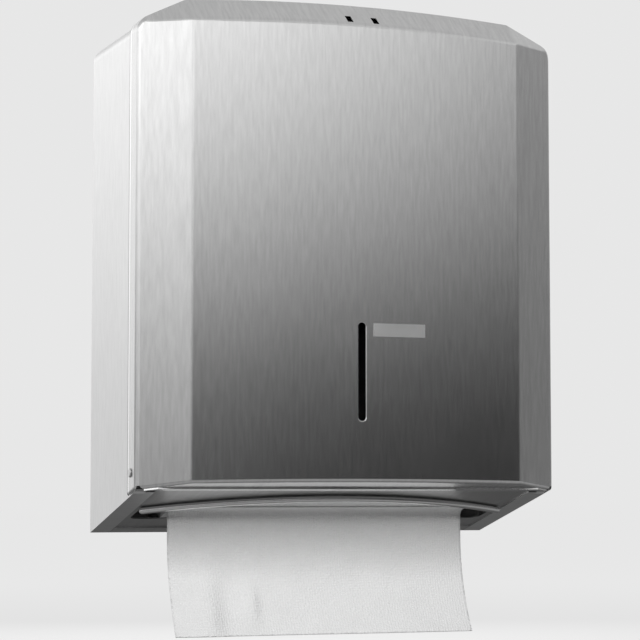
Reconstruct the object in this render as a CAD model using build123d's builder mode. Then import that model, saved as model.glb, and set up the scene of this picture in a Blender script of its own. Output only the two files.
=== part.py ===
"""Wall-mounted dispenser for folded paper towels, in satin stainless steel.

Frame: +X to the right of someone facing the dispenser, +Y into the wall, +Z up. The wall is the
plane Y = 0 and the origin is the centre of the four wall-screw holes. Sizes are in millimetres.
A name that ends in depth is a distance from the wall, and one that ends in height is measured
from the case's bottom edge at the wall.
"""

import os
from math import cos, radians, sin, sqrt, tan

from build123d import *

# Sheet metal and fits
sheet = 1.0
cover_clearance = 0.8
side_clearance = 0.3
seat_gap = 0.05
running_clearance = 0.05

# Case and cover, seen from the front
cover_width = 290.0
side_height = 326.0
corner_rise = 15.5
crown_rise = 4.5
side_corner_radius = 12.0

# Cover, seen from above and from the side
joint_depth = 96.5
cover_return = 17.5
bevel_width = 32.0
bevel_depth = 16.0
front_bow = 4.2
top_bevel_angle = 38.7
corner_extra_fall = 3.0
bottom_angle = 14.0
fold_radius = 4.5
bend_radius = 2.5
case_overlap = 13.0
return_edge_depth = 115.5
hem_width = 4.0

# Sight slot, name plate and key holes
slot_length = 63.0
slot_width = 5.0
slot_middle_height = 104.0
slot_edge_round = 0.7
plate_width = 36.0
plate_tall = 8.5
plate_thickness = 0.5
plate_middle_x = 26.0
plate_middle_height = 131.0
key_hole_width = 4.0
key_hole_length = 8.0
key_hole_spacing = 18.0
key_hole_middle_x = 2.0
key_hole_setback = 5.8

# Wall plate and the flanges that carry the tray
mount_height = 200.0
hole_spacing_x = 180.0
hole_spacing_z = 200.0
wall_hole_radius = 3.2
flange_width = 13.0
back_flange_depth = 12.0

# Hinge
pin_depth = 104.0
pin_height = 39.0
pin_radius = 2.0
pin_head_radius = 2.9
pin_head_thickness = 0.9
pin_head_round = 0.6
pin_head_gap = 0.2
pin_tail = 1.2
washer_radius = 5.0
washer_play = 0.1
clip_radius = 4.5
clip_thickness = 0.8
cover_swing = 45.0
swing_clearance = 0.5
relief_width = 9.0

# Tray and mouth
tray_front_depth = 108.0
lip_depth = 95.5
lip_curve_radius = 270.0
mouth_side_margin = 16.2
lip_rod_radius = 2.25
mouth_back_depth = 33.5
mouth_corner_radius = 6.0

# Towels
stack_back_depth = 4.0
stack_front_depth = 100.0
stack_thickness = 44.0
towel_exit_depth = 51.5
towel_thickness = 0.8
towel_hang = 67.0
towel_curl = 20.0
towel_gap = 0.3

# Towel guides
guide_side_room = 35.2
guide_clearance = 2.0
guide_reach_depth = 70.0
guide_foot_width = 18.0
guide_bottom_height = 35.0
guide_length = 150.0
guide_rivet_spacing = 100.0

# Rivets
rivet_radius = 1.5
rivet_head_radius = 2.6
rivet_head_thickness = 0.7

# Latch: a spring-steel blade under the case top and the catch plate in the cover
blade_width = 28.0
blade_thickness = 0.8
blade_drop = 12.0
blade_slope_run = 14.0
root_length = 18.0
root_rivet_spacing = 16.0
root_seat = 0.2
blade_pivot_depth = 64.0
blade_root_gap = 0.3
nose_depth = 118.0
nose_fall = 8.0
catch_engagement = 2.7
catch_lift = 0.5
catch_gap = 0.7
catch_foot = 7.0
catch_seat = 0.15

# Values that follow from the sizes above
floor = -mount_height
half_width = cover_width / 2
front_half = half_width - bevel_width
rim_depth = joint_depth + cover_return
front_depth = rim_depth + bevel_depth + front_bow
bow_radius = (front_half**2 + front_bow**2) / (2 * front_bow)
case_reach_depth = joint_depth + case_overlap
case_inset = sheet + cover_clearance
case_half = half_width - case_inset
inner_half = case_half - sheet
top_fall = tan(radians(top_bevel_angle))
bottom_slope = tan(radians(bottom_angle))
crown_height = side_height + corner_rise + crown_rise
tilt_sine = sin(radians(bottom_angle))
tilt_cosine = cos(radians(bottom_angle))
bevel_sine = sin(radians(top_bevel_angle))
bevel_cosine = cos(radians(top_bevel_angle))
fixed_hole_radius = rivet_radius + seat_gap
guide_inside = inner_half - guide_side_room
towel_width = 2 * (guide_inside - guide_clearance)
guide_foot_middle = guide_inside + guide_foot_width / 2
guide_back_depth = sheet + seat_gap
guide_low = floor + guide_bottom_height
guide_rivet_points = [
    (side * guide_foot_middle, guide_low + guide_length / 2 + end * guide_rivet_spacing / 2)
    for side in (-1, 1)
    for end in (-1, 1)
]


def underside(lift=0.0):
    """Plane of the slanted underside, raised square to itself. Its local Y points to the wall."""
    normal = Vector(0, tilt_sine, tilt_cosine)
    return Plane(origin=Vector(0, 0, floor) + normal * lift, x_dir=(1, 0, 0), z_dir=normal)


def along(depth, lift=0.0):
    """Local Y on the raised underside's plane of a line at a distance from the wall."""
    return -(depth + lift * tilt_sine) / tilt_cosine


def underside_level(depth, lift=0.0):
    """Z of the underside at a distance from the wall, raised square to itself by a lift."""
    return floor + bottom_slope * depth + lift / tilt_cosine


def front_outline(depth, inset, crown_fall=0.0, corner_fall=0.0):
    """Case and cover outline seen from the front, at a depth, taken in by an inset and lowered."""
    low = floor - side_corner_radius
    side_top = floor + side_height - corner_fall
    corner_top = side_top + corner_rise
    crown_top = floor + crown_height - crown_fall
    with BuildSketch(Plane.XZ.offset(depth)) as outline:
        with BuildLine():
            left = Line((-half_width, low), (-half_width, side_top))
            left_clip = Line(left @ 1, (-front_half, corner_top))
            crown = ThreePointArc(left_clip @ 1, (0, crown_top), (front_half, corner_top))
            right_clip = Line(crown @ 1, (half_width, side_top))
            right = Line(right_clip @ 1, (half_width, low))
            Line(right @ 1, left @ 0)
        make_face()
        fillet(outline.vertices().sort_by(Axis.Y)[2:4], side_corner_radius)
        if inset:
            offset(amount=-inset, kind=Kind.INTERSECTION, mode=Mode.REPLACE)
    return outline.sketch


def cover_form(inset, back_depth):
    """Solid form of the cover taken in by an inset, from a back depth to its front."""
    with BuildPart() as form:
        add(front_outline(back_depth, inset))
        extrude(amount=rim_depth - back_depth, dir=(0, -1, 0))
        crown_fall = (front_depth - rim_depth) * top_fall
        lowered = front_outline(front_depth, inset, crown_fall, crown_fall + corner_extra_fall)
        loft([front_outline(rim_depth, inset).face(), lowered.face()], ruled=True)
        with BuildSketch(Plane.XY.offset(floor - bend_radius)):
            with BuildLine():
                left = Line((-half_width, 0), (-half_width, -rim_depth))
                left_bevel = Line(left @ 1, (-front_half, -rim_depth - bevel_depth))
                bow = ThreePointArc(left_bevel @ 1, (0, -front_depth), (front_half, -rim_depth - bevel_depth))
                right_bevel = Line(bow @ 1, (half_width, -rim_depth))
                right = Line(right_bevel @ 1, (half_width, 0))
                Line(right @ 1, left @ 0)
            make_face()
            if inset:
                offset(amount=-inset, kind=Kind.INTERSECTION, mode=Mode.REPLACE)
        extrude(amount=crown_height + bend_radius, mode=Mode.INTERSECT)
        split(bisect_by=underside(inset), keep=Keep.TOP)
    return form.part


def is_crease(edge):
    """True for the bends of the cover's form, and not for its open back edges."""
    middle = edge.center()
    in_front = middle.Y < -rim_depth + seat_gap
    on_top_corner = abs(middle.X) < front_half + seat_gap and middle.Z > floor + side_height
    on_bottom = middle.Z < floor + pin_height
    return middle.Y < -joint_depth - seat_gap and (in_front or on_top_corner or on_bottom)


def is_wide_fold(edge):
    """True for the soft bends between the cover's front, bevels, sides and top."""
    return is_crease(edge) and edge.center().Z > floor + pin_height


def is_bottom_bend(edge):
    """True for the tighter bend along the cover's slanted bottom."""
    upright = abs(edge.tangent_at(0.5).Z) > tilt_cosine
    return is_crease(edge) and edge.center().Z < floor + pin_height and not upright


def is_slot_edge(edge):
    """True for the outer edges of the sight slot in the cover's front."""
    middle = edge.center()
    beside = abs(middle.X) < slot_width
    level = abs(middle.Z - floor - slot_middle_height) < slot_length
    return beside and level and middle.Y < -front_depth + sheet / 2


def top_bevel_level(depth, inset):
    """Z of the cover's top bevel at X = 0, taken in square to itself by an inset."""
    return floor + crown_height - top_fall * (depth - rim_depth) - inset / bevel_cosine


def pieces_at(points, radius, plane, amount):
    """Round bars from sketch points on a plane, as one part."""
    with BuildPart() as bars:
        with BuildSketch(plane):
            with Locations(*points):
                Circle(radius)
        extrude(amount=amount)
    return bars.part


def rivet_group(points, plane, grip, flush_back):
    """Rivets on a plane: shanks through a grip, heads in front and, unless flush, behind."""
    with BuildPart() as rivets:
        add(pieces_at(points, rivet_radius, plane, grip))
        add(pieces_at(points, rivet_head_radius, plane.offset(grip), rivet_head_thickness))
        if not flush_back:
            add(pieces_at(points, rivet_head_radius, plane, -rivet_head_thickness))
    return rivets.part


# Swing relief: room at the case's lower front corners for the cover's bevels when it tilts open
bevel_slope = bevel_depth / bevel_width
bevel_reach = rim_depth + bevel_slope * case_inset - sheet * sqrt(1 + bevel_slope**2) - pin_depth
swing_axis = Plane(
    origin=(0, -pin_depth, floor + pin_height),
    x_dir=(1, 0, 0),
    z_dir=(0, -cos(radians(cover_swing)), -sin(radians(cover_swing))),
)
relief_middle_x = half_width - relief_width / 2

with BuildPart() as swing_relief:
    with BuildSketch(swing_axis.offset(bevel_reach - swing_clearance)):
        with Locations((-relief_middle_x, 0), (relief_middle_x, 0)):
            Rectangle(relief_width, 4 * case_overlap)
    extrude(amount=2 * case_overlap)

# Back plate: flat against the wall, with four screw holes and a flange under the tray's back edge
with BuildPart() as back_plate:
    add(front_outline(0, case_inset + sheet + seat_gap))
    extrude(amount=sheet, dir=(0, -1, 0))
    split(bisect_by=underside(), keep=Keep.TOP)
    with BuildSketch(underside()):
        with Locations((0, along(back_flange_depth) / 2)):
            Rectangle(2 * (case_half - flange_width - side_clearance), back_flange_depth / tilt_cosine)
    extrude(amount=sheet)
    split(bisect_by=Plane.XZ, keep=Keep.TOP)
    with BuildSketch(Plane.XZ):
        with GridLocations(hole_spacing_x, hole_spacing_z, 2, 2):
            Circle(wall_hole_radius)
        with Locations(*guide_rivet_points):
            Circle(fixed_hole_radius)
    extrude(amount=sheet, mode=Mode.SUBTRACT)

# Case wrap: sides and clipped, crowned top, with inward flanges along the slanted bottom
pin_axis_point = (-pin_depth, floor + pin_height)
root_middle_depth = blade_pivot_depth - root_length / 2
root_rivet_points = [(end * root_rivet_spacing / 2, -root_middle_depth) for end in (-1, 1)]
case_top = floor + crown_height - case_inset

with BuildPart() as case_wrap:
    add(front_outline(0, case_inset))
    extrude(amount=case_reach_depth, dir=(0, -1, 0))
    add(front_outline(0, case_inset + sheet))
    extrude(amount=case_reach_depth, dir=(0, -1, 0), mode=Mode.SUBTRACT)
    split(bisect_by=underside(), keep=Keep.TOP)
    flange_back = along(sheet + side_clearance, sheet)
    flange_front = along(tray_front_depth)
    flange_middle_x = case_half - flange_width / 2
    flange_middle_y = (flange_back + flange_front) / 2
    with BuildSketch(underside()):
        with Locations((-flange_middle_x, flange_middle_y), (flange_middle_x, flange_middle_y)):
            Rectangle(flange_width, flange_back - flange_front)
    extrude(amount=sheet)
    add(swing_relief.part, mode=Mode.SUBTRACT)
    with BuildSketch(Plane.YZ):
        with Locations(pin_axis_point):
            Circle(pin_radius + running_clearance)
    extrude(amount=half_width, both=True, mode=Mode.SUBTRACT)
    with BuildSketch(Plane.XY.offset(case_top + sheet)):
        with Locations(*root_rivet_points):
            Circle(fixed_hole_radius)
    extrude(amount=-3 * sheet, mode=Mode.SUBTRACT)

# Tray: slanted plate on the flanges, with the mouth cut out of it
lip_half_width = inner_half - mouth_side_margin
lip_end_rise = lip_curve_radius - sqrt(lip_curve_radius**2 - lip_half_width**2)
lip_middle = (0, along(lip_depth))
lip_left = (-lip_half_width, along(lip_depth) + lip_end_rise)
lip_right = (lip_half_width, along(lip_depth) + lip_end_rise)
tray_back = along(sheet + side_clearance, 2 * sheet)
tray_front = along(tray_front_depth)

with BuildPart() as towel_tray:
    with BuildSketch(underside(sheet)) as tray_outline:
        with Locations((0, (tray_back + tray_front) / 2)):
            Rectangle(2 * (inner_half - side_clearance), tray_back - tray_front)
        with BuildLine():
            lip_edge = ThreePointArc(lip_left, lip_middle, lip_right)
            mouth_right = Line(lip_edge @ 1, (lip_half_width, along(mouth_back_depth)))
            mouth_back = Line(mouth_right @ 1, (-lip_half_width, along(mouth_back_depth)))
            Line(mouth_back @ 1, lip_edge @ 0)
        make_face(mode=Mode.SUBTRACT)
    extrude(amount=sheet)
    mouth_corners = towel_tray.edges().filter_by(
        lambda edge: abs(edge.length - sheet) < seat_gap
        and abs(abs(edge.center().X) - lip_half_width) < seat_gap
        and edge.center().Y > -mouth_back_depth - sheet
    )
    fillet(mouth_corners, mouth_corner_radius)
    add(swing_relief.part, mode=Mode.SUBTRACT)

# Lip rod: round rod with domed ends, welded under the mouth's front edge
rod_plane = underside(sheet - seat_gap - lip_rod_radius)

with BuildPart() as lip_rod:
    with BuildLine(rod_plane) as rod_path:
        rod_arc = ThreePointArc(lip_left, lip_middle, lip_right)
    with BuildSketch(Plane(origin=rod_arc @ 0, z_dir=rod_arc % 0)):
        Circle(lip_rod_radius)
    sweep(path=rod_path.line)
    with Locations(rod_arc @ 0, rod_arc @ 1):
        Sphere(lip_rod_radius)



def towel_guide(side):
    """Angle plate on one side of the stack, -1 for the left and 1 for the right."""
    reach = guide_reach_depth - guide_back_depth
    with BuildPart() as guide:
        with BuildSketch(Plane.XY.offset(guide_low)):
            with Locations((side * guide_foot_middle, -guide_back_depth - sheet / 2)):
                Rectangle(guide_foot_width, sheet)
            with Locations((side * (guide_inside + sheet / 2), -guide_back_depth - reach / 2)):
                Rectangle(sheet, reach)
        extrude(amount=guide_length)
        with BuildSketch(Plane.XZ):
            with Locations(*guide_rivet_points):
                Circle(fixed_hole_radius)
        extrude(amount=guide_back_depth + 2 * sheet, mode=Mode.SUBTRACT)
    return guide.part


# Towel guides: angle plates riveted to the back plate on either side of the stack
guide_left = towel_guide(-1)
guide_right = towel_guide(1)
guide_grip = guide_back_depth + sheet + seat_gap
guide_rivets = rivet_group(guide_rivet_points, Plane.XZ, guide_grip, flush_back=True)

# Hinge: a shoulder pin on each side, with a nylon washer between cover and case and a clip inside
pin_end_x = inner_half - seat_gap - clip_thickness - pin_tail
pin_shoulder_x = half_width + pin_head_gap


def disc(side, start_x, thickness, radius, bore):
    """Round disc on the hinge axis, from a distance out along X, with a bore if one is given."""
    with BuildPart() as ring:
        with BuildSketch(Plane.YZ.offset(side * start_x)):
            with Locations(pin_axis_point):
                Circle(radius)
                if bore:
                    Circle(bore, mode=Mode.SUBTRACT)
        extrude(amount=side * thickness)
    return ring.part


def hinge_pin(side):
    """Shoulder pin with a domed head outside the cover."""
    with BuildPart() as pin:
        add(disc(side, pin_end_x, pin_shoulder_x - pin_end_x, pin_radius, 0))
        add(disc(side, pin_shoulder_x, pin_head_thickness, pin_head_radius, 0))
        rim = pin.edges().group_by(Axis.X)[-1 if side > 0 else 0]
        fillet(rim, pin_head_round)
    return pin.part


pin_bore = pin_radius + running_clearance
washer_thickness = cover_clearance - 2 * washer_play
hinge_pin_left = hinge_pin(-1)
hinge_pin_right = hinge_pin(1)
hinge_washer_left = disc(-1, case_half + washer_play, washer_thickness, washer_radius, pin_bore)
hinge_washer_right = disc(1, case_half + washer_play, washer_thickness, washer_radius, pin_bore)
hinge_clip_left = disc(-1, pin_end_x + pin_tail, clip_thickness, clip_radius, pin_bore)
hinge_clip_right = disc(1, pin_end_x + pin_tail, clip_thickness, clip_radius, pin_bore)

# Front cover: bevelled shell, open behind, with a hemmed return along its bottom
cover_outer = cover_form(0, joint_depth)
bevel_front_edge = Vector(0, -front_depth, top_bevel_level(front_depth, 0))
key_hole_middle = bevel_front_edge + Vector(0, bevel_cosine, bevel_sine) * key_hole_setback
key_hole_plane = Plane(origin=key_hole_middle, x_dir=(1, 0, 0), z_dir=(0, -bevel_sine, bevel_cosine))


def hem_half(depth):
    """Half width of the bottom return at a depth, between the two side bevels."""
    return half_width - bend_radius - bevel_width * (depth - rim_depth) / bevel_depth


with BuildPart() as front_cover:
    add(cover_outer)
    fillet(front_cover.edges().filter_by(is_wide_fold), fold_radius)
    fillet(front_cover.edges().filter_by(is_bottom_bend), bend_radius)
    add(cover_form(sheet, joint_depth - sheet), mode=Mode.SUBTRACT)
    return_opening = return_edge_depth - joint_depth + sheet
    with BuildSketch(Plane.XY.offset(floor)):
        with Locations((0, -return_edge_depth + return_opening / 2)):
            Rectangle(2 * (half_width - sheet), return_opening)
    extrude(amount=underside_level(return_edge_depth, 2 * sheet) - floor, mode=Mode.SUBTRACT)
    hem_front_depth = return_edge_depth + hem_width
    with BuildSketch(underside()):
        with BuildLine():
            Polyline(
                (-hem_half(return_edge_depth), along(return_edge_depth)),
                (hem_half(return_edge_depth), along(return_edge_depth)),
                (hem_half(hem_front_depth), along(hem_front_depth)),
                (-hem_half(hem_front_depth), along(hem_front_depth)),
                close=True,
            )
        make_face()
    extrude(amount=-sheet)
    with BuildSketch(Plane.XZ.offset(rim_depth)):
        with Locations((0, floor + slot_middle_height)):
            SlotOverall(slot_length, slot_width, rotation=90)
    extrude(amount=front_depth, mode=Mode.SUBTRACT)
    fillet(front_cover.edges().filter_by(is_slot_edge), slot_edge_round)
    with BuildSketch(key_hole_plane):
        with Locations(*[(key_hole_middle_x + end * key_hole_spacing / 2, 0) for end in (-1, 1)]):
            Rectangle(key_hole_width, key_hole_length)
    extrude(amount=3 * sheet, both=True, mode=Mode.SUBTRACT)
    with BuildSketch(Plane.YZ):
        with Locations(pin_axis_point):
            Circle(pin_bore)
    extrude(amount=2 * half_width, both=True, mode=Mode.SUBTRACT)

# Name plate: thin bare plate that follows the bow of the front
with BuildPart() as name_plate:
    with BuildSketch(Plane.XY.offset(floor + plate_middle_height - plate_tall / 2)):
        with Locations((0, bow_radius - front_depth)):
            Circle(bow_radius + seat_gap + plate_thickness)
            Circle(bow_radius + seat_gap, mode=Mode.SUBTRACT)
        with Locations((plate_middle_x, -front_depth)):
            Rectangle(plate_width, bevel_depth, mode=Mode.INTERSECT)
    extrude(amount=plate_tall)

# Latch: riveted root, blade with a nose in front of the catch, and the catch in the cover
root_top = case_top - sheet - root_seat
blade_top = root_top - blade_drop
nose_top = blade_top + catch_lift + catch_engagement
blade_start_depth = blade_pivot_depth + blade_root_gap
blade_flat_depth = blade_start_depth + blade_slope_run
nose_tip_depth = nose_depth + nose_fall
ramp_shift = blade_thickness / sqrt(2)
ramp_under_level = nose_top - 2 * ramp_shift - blade_thickness

with BuildPart() as latch_root:
    with BuildSketch(Plane.XY.offset(root_top - blade_thickness)):
        with Locations((0, -root_middle_depth)):
            Rectangle(blade_width, root_length)
        with Locations(*root_rivet_points):
            Circle(fixed_hole_radius, mode=Mode.SUBTRACT)
    extrude(amount=blade_thickness)

with BuildPart() as latch_blade:
    with BuildSketch(Plane.YZ):
        with BuildLine():
            Polyline(
                (-blade_start_depth, root_top),
                (-blade_flat_depth, blade_top),
                (-nose_depth, blade_top),
                (-nose_depth, nose_top),
                (-nose_tip_depth, nose_top - nose_fall),
                (-nose_tip_depth + ramp_shift, nose_top - nose_fall - ramp_shift),
                (-nose_depth - blade_thickness, ramp_under_level),
                (-nose_depth - blade_thickness, blade_top - blade_thickness),
                (-blade_flat_depth, blade_top - blade_thickness),
                (-blade_start_depth, root_top - blade_thickness),
                close=True,
            )
        make_face()
    extrude(amount=blade_width / 2, both=True)

latch_grip = sheet + root_seat + blade_thickness + 2 * seat_gap
latch_rivet_plane = Plane.XY.offset(root_top - blade_thickness - seat_gap)
latch_rivets = rivet_group(root_rivet_points, latch_rivet_plane, latch_grip, flush_back=False)

catch_front_depth = nose_depth - catch_gap
catch_back_depth = catch_front_depth - sheet
catch_foot_depth = catch_front_depth + catch_foot * bevel_cosine
foot_top = top_bevel_level(catch_foot_depth, sheet + catch_seat)

with BuildPart() as cover_catch:
    with BuildSketch(Plane.YZ):
        with BuildLine():
            Polyline(
                (-catch_front_depth, blade_top + catch_lift),
                (-catch_back_depth, blade_top + catch_lift),
                (-catch_back_depth, top_bevel_level(catch_back_depth, sheet + catch_seat)),
                (-catch_foot_depth, foot_top),
                (-catch_foot_depth + sheet * bevel_sine, foot_top - sheet * bevel_cosine),
                (-catch_front_depth, top_bevel_level(catch_front_depth, 2 * sheet + catch_seat)),
                close=True,
            )
        make_face()
    extrude(amount=blade_width / 2, both=True)

# Towels: the stack on the tray, and the one that hangs out of the mouth and curls forward
stack_lift = 2 * sheet + seat_gap

with BuildPart() as towel_stack:
    with BuildSketch(Plane.YZ):
        with BuildLine():
            stack_back_low = underside_level(stack_back_depth, stack_lift)
            stack_front_low = underside_level(stack_front_depth, stack_lift)
            Polyline(
                (-stack_back_depth, stack_back_low),
                (-stack_front_depth, stack_front_low),
                (-stack_front_depth, stack_front_low + stack_thickness),
                (-stack_back_depth, stack_back_low + stack_thickness),
                close=True,
            )
        make_face()
    extrude(amount=towel_width / 2, both=True)

curl_radius = (towel_hang**2 + towel_curl**2) / (2 * towel_curl)
towel_front_y = -towel_exit_depth - towel_thickness / 2
towel_back_y = -towel_exit_depth + towel_thickness / 2
towel_top = underside_level(towel_exit_depth - towel_thickness / 2, stack_lift - towel_gap)
curl_middle_y = -towel_exit_depth - curl_radius
curl_sine = towel_hang / curl_radius
curl_cosine = 1 - towel_curl / curl_radius
half_curl_cosine = sqrt((1 + curl_cosine) / 2)
half_curl_sine = sqrt((1 - curl_cosine) / 2)


def curl_point(radius, sine, cosine):
    """Point of the towel's curl at an angle below the level of the case's bottom edge."""
    return (curl_middle_y + radius * cosine, floor - radius * sine)


with BuildPart() as hanging_towel:
    front_radius = curl_radius - towel_thickness / 2
    back_radius = curl_radius + towel_thickness / 2
    with BuildSketch(Plane.YZ):
        with BuildLine():
            front_face = Line((towel_front_y, towel_top), (towel_front_y, floor))
            front_curl = ThreePointArc(
                front_face @ 1,
                curl_point(front_radius, half_curl_sine, half_curl_cosine),
                curl_point(front_radius, curl_sine, curl_cosine),
            )
            hem = Line(front_curl @ 1, curl_point(back_radius, curl_sine, curl_cosine))
            back_curl = ThreePointArc(
                hem @ 1, curl_point(back_radius, half_curl_sine, half_curl_cosine), (towel_back_y, floor)
            )
            back_face = Line(back_curl @ 1, (towel_back_y, towel_top))
            Line(back_face @ 1, front_face @ 0)
        make_face()
    extrude(amount=towel_width / 2, both=True)

pieces = {
    "back_plate": back_plate.part,
    "case_wrap": case_wrap.part,
    "towel_tray": towel_tray.part,
    "lip_rod": lip_rod.part,
    "guide_left": guide_left,
    "guide_right": guide_right,
    "guide_rivets": guide_rivets,
    "hinge_pin_left": hinge_pin_left,
    "hinge_pin_right": hinge_pin_right,
    "hinge_washer_left": hinge_washer_left,
    "hinge_washer_right": hinge_washer_right,
    "hinge_clip_left": hinge_clip_left,
    "hinge_clip_right": hinge_clip_right,
    "front_cover": front_cover.part,
    "name_plate": name_plate.part,
    "cover_catch": cover_catch.part,
    "latch_root": latch_root.part,
    "latch_blade": latch_blade.part,
    "latch_rivets": latch_rivets,
    "towel_stack": towel_stack.part,
    "hanging_towel": hanging_towel.part,
}

os.makedirs("parts", exist_ok=True)
for name, piece in pieces.items():
    piece.label = name
    export_step(piece, f"parts/{name}.step")
    print(name, len(piece.solids()), round(piece.volume, 1))
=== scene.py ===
# %% [markdown]
# # A steel paper towel dispenser
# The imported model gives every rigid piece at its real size: the bent steel case, the bevelled
# cover, the hinge and the latch. This lesson adds what a solid model can't hold: the grain of
# satin steel, the soft towel that hangs from the mouth, the folded stack inside, and the light.

# %% Load the frame
import math

import bmesh
import bpy
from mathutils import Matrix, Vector


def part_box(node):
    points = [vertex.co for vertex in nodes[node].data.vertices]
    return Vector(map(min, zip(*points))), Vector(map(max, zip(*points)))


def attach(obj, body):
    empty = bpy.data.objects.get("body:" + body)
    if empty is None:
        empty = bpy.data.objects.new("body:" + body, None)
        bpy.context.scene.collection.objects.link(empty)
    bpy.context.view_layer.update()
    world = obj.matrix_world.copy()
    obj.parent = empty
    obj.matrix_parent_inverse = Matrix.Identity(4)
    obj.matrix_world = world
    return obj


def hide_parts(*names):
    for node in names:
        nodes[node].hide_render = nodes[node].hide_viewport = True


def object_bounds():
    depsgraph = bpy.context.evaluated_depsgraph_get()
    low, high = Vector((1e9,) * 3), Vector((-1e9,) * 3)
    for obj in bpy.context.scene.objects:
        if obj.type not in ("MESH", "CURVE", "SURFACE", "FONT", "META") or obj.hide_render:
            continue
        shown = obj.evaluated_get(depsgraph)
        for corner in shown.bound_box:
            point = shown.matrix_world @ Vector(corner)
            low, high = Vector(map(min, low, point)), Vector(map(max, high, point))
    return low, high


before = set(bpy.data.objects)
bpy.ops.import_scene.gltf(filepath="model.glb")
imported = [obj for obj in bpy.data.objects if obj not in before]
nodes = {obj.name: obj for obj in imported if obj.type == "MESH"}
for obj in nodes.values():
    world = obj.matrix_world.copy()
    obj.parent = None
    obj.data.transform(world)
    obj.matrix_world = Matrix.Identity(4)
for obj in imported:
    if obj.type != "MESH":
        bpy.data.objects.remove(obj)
cad_low, cad_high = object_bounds()
print("CAD box in mm:", [round(size * 1000, 1) for size in cad_high - cad_low])

# %% [markdown]
# ## Camera
# The photograph was taken from the lower left with a long lens. Its place and direction were
# worked out from the straight edges of the cover, in the same frame as the model, so a camera
# there shows each edge where the photograph has it.

# %% Camera at the photograph's place
MM = 0.001
case_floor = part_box("case_wrap")[0].z
camera_place = Vector((-536.65 * MM, -1486.46 * MM, case_floor + 25.36 * MM))
camera_yaw = math.radians(20.578)
camera_pitch = math.radians(4.395)
photo_focal_pixels = 2271.9
photo_width_pixels = 640
sensor_width = 36.0


def new_object(name, data):
    """An object of the scene that holds a camera, a lamp or a mesh."""
    made = bpy.data.objects.new(name, data)
    bpy.context.scene.collection.objects.link(made)
    return made


camera_data = bpy.data.cameras.new("photo_camera")
camera_data.sensor_width = sensor_width
camera_data.lens = photo_focal_pixels / photo_width_pixels * sensor_width
camera = new_object("photo_camera", camera_data)
camera.location = camera_place
camera.rotation_euler = (math.pi / 2 + camera_pitch, 0, -camera_yaw)
bpy.context.scene.camera = camera
bpy.context.scene.view_settings.view_transform = "Standard"
print("lens in mm:", round(camera_data.lens, 1))

# %% [markdown]
# ## Room
# Metal looks like what stands around it. The room is a plain pale studio: the world gives the
# pale background to the camera and to reflections, and a lower, even light to matt surfaces. One
# colour for all rays would be simpler, but then a pale background would also flood the object
# with light, so a mix takes one of two greys by the kind of ray. The same few kinds of node come
# back in every material, so small helpers make them.

# %% Helpers for node trees


def feed(tree, socket, value):
    """Links an output to a socket, or sets a plain value on it."""
    if isinstance(value, bpy.types.NodeSocket):
        tree.links.new(value, socket)
    else:
        socket.default_value = value


def math_node(tree, operation, first, second=0.0):
    """A Math node fed by outputs or numbers; returns its output."""
    node = tree.nodes.new("ShaderNodeMath")
    node.operation = operation
    feed(tree, node.inputs[0], first)
    feed(tree, node.inputs[1], second)
    return node.outputs[0]


def mix(tree, kind, factor, low, high):
    """A Mix node from low to high, of kind RGBA or FLOAT; returns its output."""
    node = tree.nodes.new("ShaderNodeMix")
    node.data_type = kind
    for label, value in (("Factor", factor), ("A", low), ("B", high)):
        feed(tree, node.inputs[label], value)
    return node.outputs["Result"]


def grey(value):
    """A neutral colour."""
    return (value, value, value, 1)


# %% Pale world
pale_grey = 0.80
fill_grey = 0.13


def seen_rays_of(tree):
    """1 for rays of the camera, of reflections and through glass, and 0 for light rays."""
    rays = tree.nodes.new("ShaderNodeLightPath")
    seen = rays.outputs["Is Camera Ray"]
    for kind in ("Is Glossy Ray", "Is Transmission Ray"):
        seen = math_node(tree, "MAXIMUM", seen, rays.outputs[kind])
    return seen


world = bpy.data.worlds.new("pale_studio")
bpy.context.scene.world = world
world.use_nodes = True
world_tree = world.node_tree
room_colour = mix(world_tree, "RGBA", seen_rays_of(world_tree), grey(fill_grey), grey(pale_grey))
world_tree.links.new(room_colour, world_tree.nodes["Background"].inputs["Color"])
print("room grey", pale_grey, "as it is seen, and", fill_grey, "as light")

# %% [markdown]
# ## Floor
# The floor is a wide pale sheet below the hanging towel. It is matt and takes the object's soft
# shadow. For the camera and for reflections it also glows, a little more with the distance, so
# that its far end meets the room without a line. From below it is open, so that a camera under
# the floor still sees the object. A curved backdrop would hide the line too, but only from the
# front.

# %% Helpers for materials


def principled(name):
    """A new material, its node tree and its Principled shader."""
    material = bpy.data.materials.new(name)
    material.use_nodes = True
    tree = material.node_tree
    return material, tree, tree.nodes["Principled BSDF"]


def object_place(tree):
    """The Object coordinates in a material or a node group."""
    return tree.nodes.new("ShaderNodeTexCoord").outputs["Object"]


def vector_math(tree, operation, first, second=(0.0, 0.0, 0.0)):
    """A Vector Math node fed by outputs or vectors; returns the node."""
    node = tree.nodes.new("ShaderNodeVectorMath")
    node.operation = operation
    feed(tree, node.inputs[0], first)
    feed(tree, node.inputs[1], second)
    return node


def map_range(tree, value, source, target=(0.0, 1.0), kind="LINEAR"):
    """Maps a value from a source range to a target range; returns the output."""
    node = tree.nodes.new("ShaderNodeMapRange")
    node.interpolation_type = kind
    tree.links.new(value, node.inputs["Value"])
    labels = ("From Min", "From Max", "To Min", "To Max")
    for label, number in zip(labels, (*source, *target)):
        node.inputs[label].default_value = number
    return node.outputs["Result"]


# %% Matt floor that glows where it is seen
floor_grey = 0.17
floor_roughness = 0.9
fade_distance = (0.5, 4.5)
fade_glow = (0.82, 0.97)

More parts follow.
